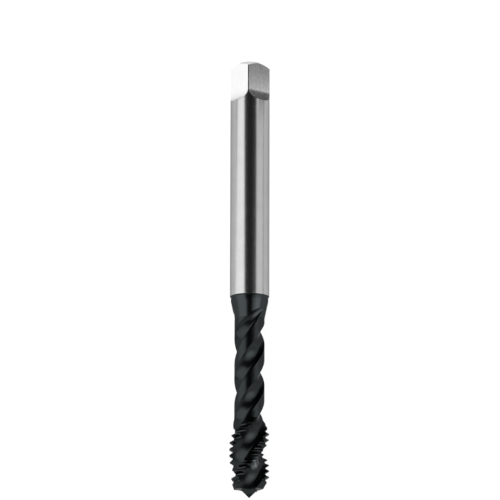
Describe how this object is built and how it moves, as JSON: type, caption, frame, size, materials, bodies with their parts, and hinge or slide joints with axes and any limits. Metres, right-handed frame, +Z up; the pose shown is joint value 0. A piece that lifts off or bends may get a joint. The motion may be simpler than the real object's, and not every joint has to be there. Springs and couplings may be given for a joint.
{
  "type": "machine tap",
  "caption": "Right-hand spiral-flute machine tap with a drive square, bright ground shank, dark reduced neck and fluted thread with a pointed cutting end.",
  "frame": {"origin": "under the middle of the tap's length, on the surface that the shank lies on", "axes": "+Y along the tap towards the drive square, +Z up, the cutting end at -Y"},
  "size_m": [0.008, 0.09, 0.008],
  "materials": {
    "steel": "ground, dark oxide from the shoulder to the tip"
  },
  "bodies": {
    "root": {"tap": "steel"}
  },
  "joints": []
}
